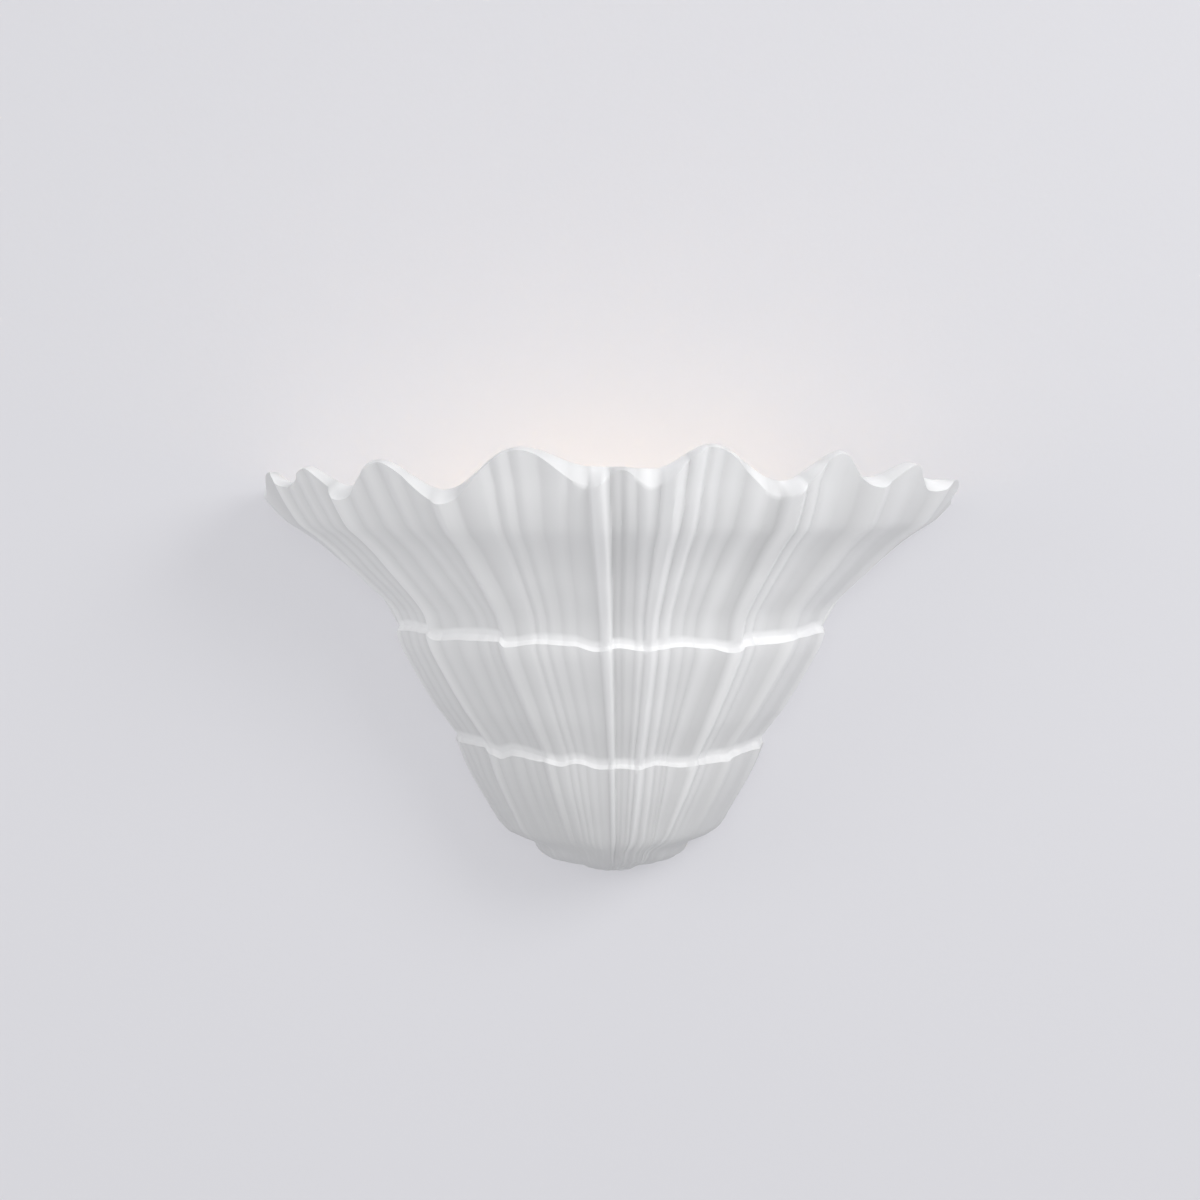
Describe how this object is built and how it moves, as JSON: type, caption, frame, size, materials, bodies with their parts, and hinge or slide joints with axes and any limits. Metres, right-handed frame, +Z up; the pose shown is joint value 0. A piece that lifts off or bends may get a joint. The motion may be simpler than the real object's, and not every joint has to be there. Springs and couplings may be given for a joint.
{
  "type": "shell wall sconce",
  "caption": "White fluted wall sconce: a tiered half bowl with a scalloped rim, hung on a wall plate that carries push-in lamps and throws light up the wall.",
  "frame": {"origin": "centre of the wall plate's two fixing holes, on the wall plane", "axes": "+X to the viewer's right along the wall, +Y into the wall, +Z up"},
  "size_m": [0.3439, 0.1561, 0.215],
  "materials": {
    "white_ceramic": "matte",
    "zinc_steel": "satin",
    "brass": "satin",
    "screw_steel": "satin",
    "pad_rubber": "matte",
    "plate_paint": "satin",
    "grommet_rubber": "matte",
    "block_plastic": "matte",
    "wire_green": "matte",
    "holder_ceramic": "matte",
    "lamp_base": "satin",
    "pin_metal": "satin",
    "frosted_glass": "satin",
    "lamp_core": "matte",
    "wire_brown": "matte",
    "wire_blue": "matte"
  },
  "bodies": {
    "fixture": {"wall_plate": "plate_paint", "cable_grommet": "grommet_rubber", "terminal_block": "block_plastic", "terminal_clamps": "brass", "terminal_screws": "screw_steel", "block_screw": "screw_steel", "earth_stud": "brass", "earth_lug": "zinc_steel", "earth_washer": "screw_steel", "earth_nut": "brass", "lamp_bracket": "plate_paint", "bracket_screws": "screw_steel", "holder_screws": "screw_steel", "earth_wire": "wire_green", "lampholder_left": "holder_ceramic", "contacts_left": "brass", "live_wire_left": "wire_brown", "neutral_wire_left": "wire_blue", "lampholder_right": "holder_ceramic", "contacts_right": "brass", "live_wire_right": "wire_brown", "neutral_wire_right": "wire_blue"},
    "shell_body": {"shell": "white_ceramic", "hanger_strap": "zinc_steel", "strap_inserts": "brass", "strap_screws": "screw_steel", "wall_pads": "pad_rubber"},
    "lamp_left": {"lamp_base_left": "lamp_base", "lamp_pins_left": "pin_metal", "lamp_glass_left": "frosted_glass", "lamp_core_left": "lamp_core"},
    "lamp_right": {"lamp_base_right": "lamp_base", "lamp_pins_right": "pin_metal", "lamp_glass_right": "frosted_glass", "lamp_core_right": "lamp_core"}
  },
  "joints": [
    {"name": "shell_lift", "type": "slide", "parent": "fixture", "child": "shell_body", "axis": [0, 0, 1], "range_m": [0, 0.012]},
    {"name": "lamp_left_pull", "type": "slide", "parent": "fixture", "child": "lamp_left", "axis": [0, 0, 1], "range_m": [0, 0.018]},
    {"name": "lamp_right_pull", "type": "slide", "parent": "fixture", "child": "lamp_right", "axis": [0, 0, 1], "range_m": [0, 0.018]}
  ]
}
